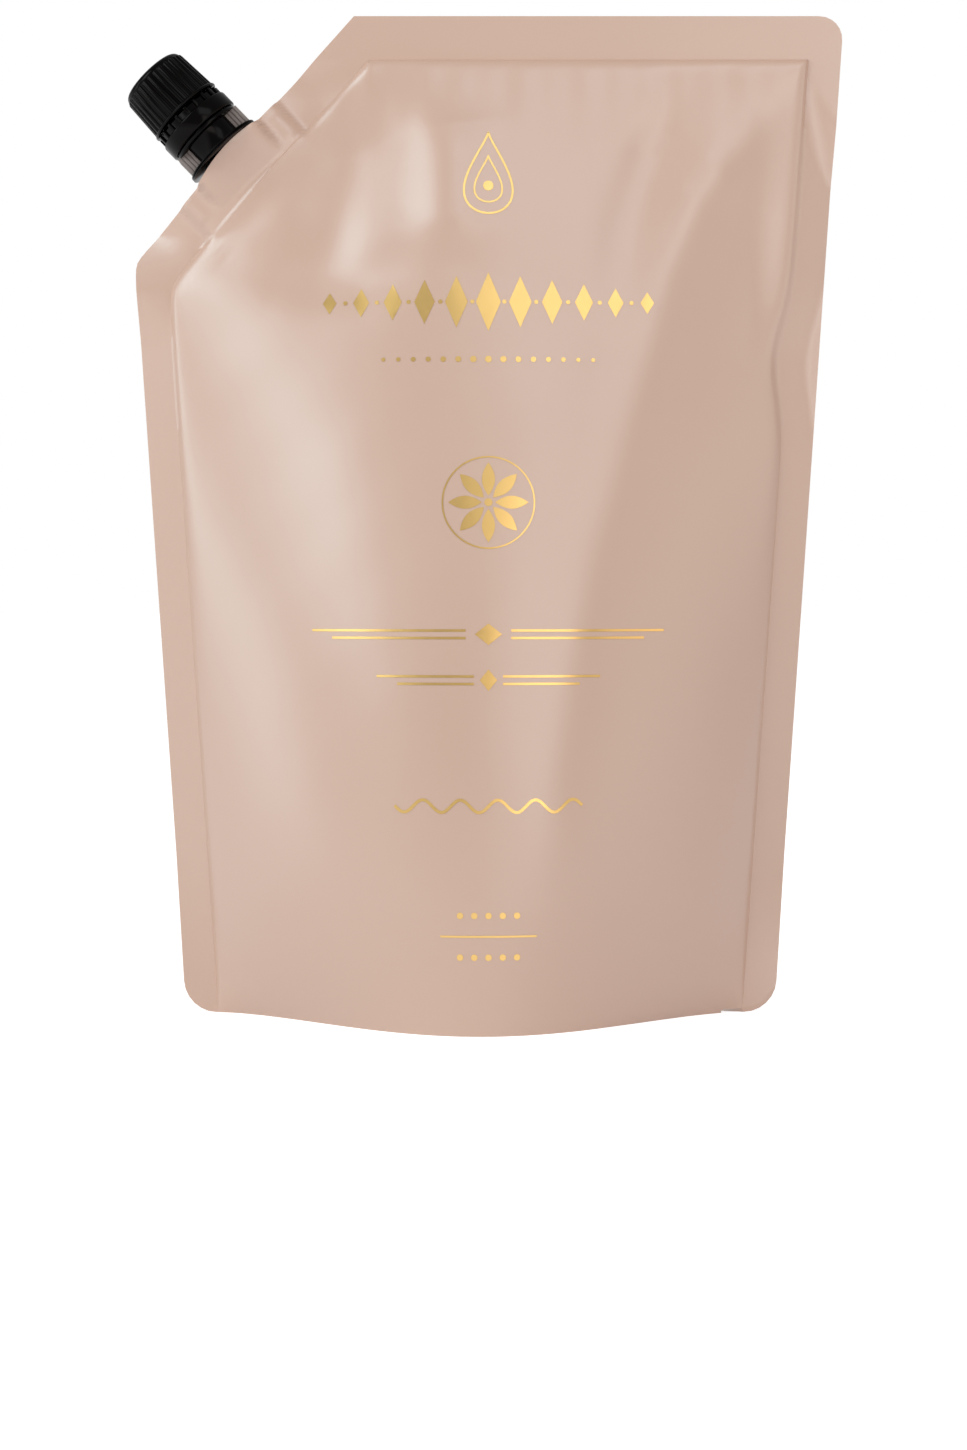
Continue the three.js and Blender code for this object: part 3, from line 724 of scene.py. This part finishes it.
# Tamper band
# The same black plastic as the cap and moulded with it: a smooth band that snaps under the neck's bead, with a
# narrow collar and twenty thin bridges that part when the cap is first turned.
BAND_RADIUS = 10.25
BAND_BOTTOM = 8.5
COLLAR_RADIUS = 9.4
COLLAR_TOP = 14.3
BAND_BORE = 8.65
HOOK_RADIUS = 7.6
HOOK_TOP = 9.6
BRIDGES = 20
BRIDGE_HALF_WIDTH = 0.42
band = turned("tamper_band", [
    (HOOK_RADIUS, BAND_BOTTOM), (BAND_RADIUS - 0.3, BAND_BOTTOM), (BAND_RADIUS, BAND_BOTTOM + 0.3),
    (BAND_RADIUS, 12.2), (10.16, 12.48), (9.9, 12.66), (COLLAR_RADIUS, 12.7), (COLLAR_RADIUS, COLLAR_TOP),
    (BAND_BORE, COLLAR_TOP), (BAND_BORE, HOOK_TOP), (HOOK_RADIUS, HOOK_TOP), (HOOK_RADIUS, BAND_BOTTOM),
], 120, filled=False)
bevelled(band, 0.1)
bridges = []
for i in range(BRIDGES):
    bridge = block("bridge", (8.95, -BRIDGE_HALF_WIDTH, 12.6), (9.85, BRIDGE_HALF_WIDTH, 14.7))
    bridge.data.transform(Matrix.Rotation(math.tau * i / BRIDGES, 4, "Z"))
    bridges.append(bridge)
joined(band, bridges)
band_black = moulded_black("black_polypropylene_band", "#030202", 0.16)
on_spout(band, "tamper_ring", "tamper_ring", band_black)


# Cap
# Black polypropylene, moulded: a slightly tapered skirt with thirty rounded grip ribs above a plain rim, a closed top
# with a rounded edge, and inside it the plug that seals the bore and the thread.
CAP_BOTTOM = 15.2
CAP_TOP = 28.2
CAP_BORE = 8.05
CAP_CEILING = 26.7
PLUG_BOTTOM = 23.7
RIM_RADIUS = 10.1
TOP_DISH = 0.15
RIB_COUNT = 30
RIB_RADIUS = 0.8
GROOVE_BOTTOM_RADIUS = 9.37
GROOVE_TOP_RADIUS = 8.82
EDGE_RADIUS = 1.5

# The shell is turned from the plug's inside down and out, up the skirt, over the rounded edge and into its top.
plug_and_bore = [
    (4.7, CAP_CEILING), (4.7, PLUG_BOTTOM), (5.35, PLUG_BOTTOM), (5.55, CAP_CEILING), (CAP_BORE, CAP_CEILING),
    (CAP_BORE, CAP_BOTTOM),
]
rim = [
    (9.75, CAP_BOTTOM), (9.97, CAP_BOTTOM + 0.09), (RIM_RADIUS, CAP_BOTTOM + 0.3), (RIM_RADIUS, CAP_BOTTOM + 0.5),
    (9.98, CAP_BOTTOM + 0.72), (9.75, CAP_BOTTOM + 0.88), (GROOVE_BOTTOM_RADIUS, CAP_BOTTOM + 0.95),
    (GROOVE_TOP_RADIUS, CAP_TOP - EDGE_RADIUS),
]
rounded_edge = [
    (GROOVE_TOP_RADIUS - EDGE_RADIUS * (1 - math.cos(turn)), CAP_TOP - EDGE_RADIUS * (1 - math.sin(turn)))
    for turn in np.linspace(0, math.pi / 2, 8)[1:]
]
sunk_top = [
    (GROOVE_TOP_RADIUS - EDGE_RADIUS - 0.4, CAP_TOP), (GROOVE_TOP_RADIUS - EDGE_RADIUS - 0.7, CAP_TOP - TOP_DISH),
    (1.2, CAP_TOP - TOP_DISH), (0.9, CAP_TOP - TOP_DISH * 2),
]
cap = turned("cap_shell", plug_and_bore + rim + rounded_edge + sunk_top, 120, filled=True)

# One grip rib is a ball drawn out into a rod with round ends, leaned with the skirt and copied all round.
bpy.ops.object.select_all(action="DESELECT")
rib_low, rib_high = CAP_BOTTOM + 0.7, CAP_TOP - 1.25 - RIB_RADIUS
bpy.ops.mesh.primitive_uv_sphere_add(segments=14, ring_count=10, radius=RIB_RADIUS * MM, location=(0, 0, 0))
first_rib = bpy.context.active_object
bpy.ops.object.mode_set(mode="EDIT")
work = bmesh.from_edit_mesh(first_rib.data)
for vertex in work.verts:
    vertex.select = vertex.co.z > 1e-6
work.select_flush_mode()
bmesh.update_edit_mesh(first_rib.data)
bpy.ops.transform.translate(value=(0, 0, (rib_high - rib_low) * MM))
bpy.ops.object.mode_set(mode="OBJECT")
lean = math.atan2(GROOVE_BOTTOM_RADIUS - GROOVE_TOP_RADIUS, CAP_TOP - EDGE_RADIUS - CAP_BOTTOM - 0.95)
stand = Matrix.Translation(((GROOVE_BOTTOM_RADIUS - 0.37) * MM, 0, rib_low * MM)) @ Matrix.Rotation(-lean, 4, "Y")
first_rib.data.transform(stand)
ribs = [first_rib]
for i in range(1, RIB_COUNT):
    rib = first_rib.copy()
    rib.data = first_rib.data.copy()
    rib.data.transform(Matrix.Rotation(math.tau * i / RIB_COUNT, 4, "Z"))
    bpy.context.scene.collection.objects.link(rib)
    ribs.append(rib)
cap_thread = thread_bead("cap_thread", CAP_BORE - 0.1, 0.6, -0.75, 1.5, THREAD_START + THREAD_PITCH / 2)
joined(cap, ribs + [cap_thread])
on_spout(cap, "cap", "cap", moulded_black("black_polypropylene_cap", "#030202", 0.15))


# Foil print
# Hot-stamped gold foil on the front panel: thin metal that follows the film, in plain ornaments of lozenges, drops,
# rules and dots. Each shape is drawn flat and then laid on the film.
FOIL_ABOVE_FILM = 0.08
FOIL_STEP = 1.3
FOIL_IN_FRONT = 60
PRINT_MIDDLE = 2.0
DROP_Z = 211
LOZENGES_Z = 178
DOTS_Z = 163.5
FLOWER_Z = 128
FLOWER_RING = 11.2
PETALS = 8
WAVE_Z = 55
WAVE_LENGTH = 9
FOOT_RULE_Z = 24
foil_verts, foil_faces = [], []


def foil_face(points):
    start = len(foil_verts)
    foil_verts.extend(((PRINT_MIDDLE + x) * MM, -FOIL_IN_FRONT * MM, z * MM) for x, z in points)
    foil_faces.append(list(range(start, start + len(points))))


def foil_line(points, width, closed=False):
    """A line of even width through the points."""
    line = [Vector(point) for point in points]
    count = len(line)
    sides = []
    for i, point in enumerate(line):
        before = line[i - 1] if closed or i else point
        after = line[(i + 1) % count] if closed or i < count - 1 else point
        along = (after - before).normalized()
        normal = Vector((-along.y, along.x)) * width / 2
        sides.append((point + normal, point - normal))
    for i in range(count if closed else count - 1):
        (a, b), (c, d) = sides[i], sides[(i + 1) % count]
        foil_face([a, c, d, b])


def ring(x, z, radius, count):
    turns = [math.tau * i / count for i in range(count)]
    return [(x + radius * math.cos(turn), z + radius * math.sin(turn)) for turn in turns]


def petal(x, z, length, width, turn):
    """A pointed petal from (x, z) outwards."""
    points = []
    for i in range(17):
        share = i / 16
        points.append((share * length, width / 2 * math.sin(math.pi * share) ** 0.9))
    points += [(px, -py) for px, py in points[-2:0:-1]]
    cos, sin = math.cos(turn), math.sin(turn)
    foil_face([(x + px * cos - py * sin, z + px * sin + py * cos) for px, py in points])


def drop_outline(z, height):
    """A drop's outline: round below, drawn to a point above."""
    points = []
    for i in range(40):
        turn = math.tau * i / 40
        wide = math.sin(turn) * math.sin(turn / 2) ** 1.6
        points.append((height * 0.42 * wide, z + height / 2 * math.cos(turn)))
    return points


def lozenge(x, z, half_width, half_height):
    foil_face([(x, z - half_height), (x + half_width, z), (x, z + half_height), (x - half_width, z)])


# A drop within a drop, and a dot in it.
foil_line(drop_outline(DROP_Z, 21), 0.55, closed=True)
foil_line(drop_outline(DROP_Z - 1.6, 12), 0.45, closed=True)
foil_face(ring(0, DROP_Z - 3.4, 1.3, 20))

# A row of lozenges that get smaller outwards, with dots between them, and a row of dots below it.
for i in range(-5, 6):
    lozenge(i * 7.9, LOZENGES_Z, (6.2 - 0.55 * abs(i)) / 2, (15.0 - 1.9 * abs(i)) / 2)
    if i < 5:
        foil_face(ring(i * 7.9 + 3.95, LOZENGES_Z, 0.55, 12))
for i in range(-7, 8):
    foil_face(ring(i * 3.7, DOTS_Z, 0.85 - 0.05 * abs(i), 14))

# A flower in a ring.
for i, (x, z) in enumerate(ring(0, FLOWER_Z, 1.6, PETALS)):
    petal(x, z, 8.2, 3.2, math.tau * i / PETALS)
foil_face(ring(0, FLOWER_Z, 1.0, 20))
foil_line(ring(0, FLOWER_Z, FLOWER_RING, 64), 0.4, closed=True)

# Two pairs of double rules with a lozenge between them, a wave, and a rule between two rows of dots.
for z, reach, gap in ((96, 43, 5.5), (85, 27, 3.5)):
    for side in (-1, 1):
        foil_line([(side * gap, z + 0.9), (side * reach, z + 0.9)], 0.6)
        foil_line([(side * gap, z - 0.9), (side * (reach - 5), z - 0.9)], 0.6)
    lozenge(0, z, gap * 0.6, 2.6)
foil_line([(x / 2, WAVE_Z + 1.5 * math.sin(x / 2 * math.tau / WAVE_LENGTH)) for x in range(-45, 46)], 0.75)
foil_line([(-11.5, FOOT_RULE_Z), (11.5, FOOT_RULE_Z)], 0.5)
for i in range(-2, 3):
    for z in (FOOT_RULE_Z + 5, FOOT_RULE_Z - 5):
        foil_face(ring(i * 3.4, z, 0.8, 14))

foil_mesh = bpy.data.meshes.new("foil_print")
foil_mesh.from_pydata([tuple(v) for v in foil_verts], [], foil_faces)
foil = bpy.data.objects.new("foil_print", foil_mesh)
bpy.context.scene.collection.objects.link(foil)

# The flat shapes are cut into small faces, so that they can bend with the film, and are then projected onto it.
work = bmesh.new()
work.from_mesh(foil_mesh)
for axis, low, high in ((0, -46, 50), (2, 14, 226)):
    normal = Vector([axis == 0, 0, axis == 2])
    for cut in np.arange(low, high, FOIL_STEP):
        bmesh.ops.bisect_plane(work, geom=work.verts[:] + work.edges[:] + work.faces[:], dist=1e-7,
                               plane_co=normal * float(cut) * MM, plane_no=normal)
bmesh.ops.remove_doubles(work, verts=work.verts, dist=2e-6)
bmesh.ops.recalc_face_normals(work, faces=work.faces)
for face in work.faces:
    if face.normal.y > 0:
        face.normal_flip()
work.to_mesh(foil_mesh)
work.free()
bpy.ops.object.select_all(action="DESELECT")
foil.select_set(True)
bpy.context.view_layer.objects.active = foil
wrap = foil.modifiers.new("laid_on_film", "SHRINKWRAP")
wrap.target = film
wrap.wrap_method = "PROJECT"
wrap.use_project_y = True
wrap.use_positive_direction = True
wrap.use_negative_direction = False
wrap.offset = FOIL_ABOVE_FILM * MM
bpy.ops.object.modifier_apply(modifier=wrap.name)


def stamped_foil():
    """Hot-stamped gold foil: metallised, rolled smooth, and left slightly uneven by the film under it."""
    m = new_material("hot_stamped_gold_foil")
    place = add_node(m, "ShaderNodeTexCoord").outputs["Object"]
    press = add_node(m, "ShaderNodeTexNoise", None, {"Scale": 700.0, "Detail": 3.0}, {"Vector": place})
    rough = add_node(m, "ShaderNodeMapRange", None, {"To Min": 0.27, "To Max": 0.36},
                     {"Value": press.outputs["Fac"]})
    bump = add_node(m, "ShaderNodeBump", None, {"Strength": 0.05, "Distance": 0.00002},
                    {"Height": press.outputs["Fac"]})
    shader = add_node(m, "ShaderNodeBsdfPrincipled", None, {"Base Color": linear("#dcb673"), "Metallic": 1.0},
                      {"Roughness": rough.outputs["Result"], "Normal": bump.outputs["Normal"]})
    add_node(m, "ShaderNodeOutputMaterial", None, None, {"Surface": shader.outputs["BSDF"]})
    return m


foil.data.materials.append(stamped_foil())
shade(foil, 60)
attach(foil, "root")


# Studio
# A pale floor and white surroundings that the camera sees as plain white. A big soft light and a low strip at the
# left draw the light bands on the film, two weaker ones in front and one at the right fill the rest, and a low even
# light comes from all round. Lights are placed and sized in metres.
AROUND_STRENGTH = 0.46
bpy.ops.object.select_all(action="DESELECT")
bpy.ops.mesh.primitive_plane_add(size=40, location=(0, 0, 0))
floor = bpy.context.active_object
floor.name = "floor"
floor_material = new_material("white_floor")
path = add_node(floor_material, "ShaderNodeLightPath")
seen = add_node(floor_material, "ShaderNodeMath", {"operation": "MAXIMUM"}, None,
                {0: path.outputs["Is Camera Ray"], 1: path.outputs["Is Glossy Ray"]})
matt = add_node(floor_material, "ShaderNodeBsdfDiffuse", None, {"Color": (0.8, 0.8, 0.8, 1)})
glow = add_node(floor_material, "ShaderNodeEmission", None, {"Color": (0.72, 0.72, 0.72, 1)},
                {"Strength": seen.outputs[0]})
both = add_node(floor_material, "ShaderNodeAddShader", None, None, {0: matt.outputs[0], 1: glow.outputs[0]})
add_node(floor_material, "ShaderNodeOutputMaterial", None, None, {"Surface": both.outputs[0]})
floor.data.materials.append(floor_material)


def softbox(name, place, aim, width, height, watts, colour):
    data = bpy.data.lights.new(name, "AREA")
    data.color = colour
    data.shape = "RECTANGLE"
    data.size, data.size_y, data.energy = width, height, watts
    lamp = bpy.data.objects.new(name, data)
    lamp.location = place
    lamp.rotation_euler = (Vector(aim) - Vector(place)).to_track_quat("-Z", "Y").to_euler()
    bpy.context.scene.collection.objects.link(lamp)


softbox("key_left", (-1.06, -0.90, 0.84), (0, 0, 0.13), 0.72, 0.85, 8.9, (0.88, 0.98, 1.0))
softbox("strip_left", (-1.2, -0.28, 0.1), (0, 0, 0.1), 0.3, 1.0, 3.3, (0.88, 0.98, 1.0))
softbox("front_top", (0.35, -1.15, 1.10), (0.03, 0, 0.18), 0.8, 0.45, 2.3, (0.90, 0.98, 1.0))
softbox("front_right", (0.50, -1.5, 0.35), (0, 0, 0.13), 0.5, 1.1, 4.2, (1.0, 0.94, 0.88))
softbox("fill_right", (1.2, -0.6, 0.25), (0, 0, 0.13), 0.7, 0.9, 2.1, (1.0, 0.86, 0.74))

world = bpy.data.worlds.new("studio")
bpy.context.scene.world = world
world.use_nodes = True
world.node_tree.nodes.clear()
sky_path = add_node(world, "ShaderNodeLightPath")
sky_seen = add_node(world, "ShaderNodeMath", {"operation": "MAXIMUM"}, None,
                    {0: sky_path.outputs["Is Camera Ray"], 1: sky_path.outputs["Is Transmission Ray"]})
sky_level = add_node(world, "ShaderNodeMapRange", None, {"To Min": AROUND_STRENGTH, "To Max": 1.0},
                     {"Value": sky_seen.outputs[0]})
sky = add_node(world, "ShaderNodeBackground", None, {"Color": (1, 1, 1, 1)},
               {"Strength": sky_level.outputs["Result"]})
add_node(world, "ShaderNodeOutputWorld", None, None, {"Surface": sky.outputs[0]})

bpy.context.scene.view_settings.view_transform = "Standard"
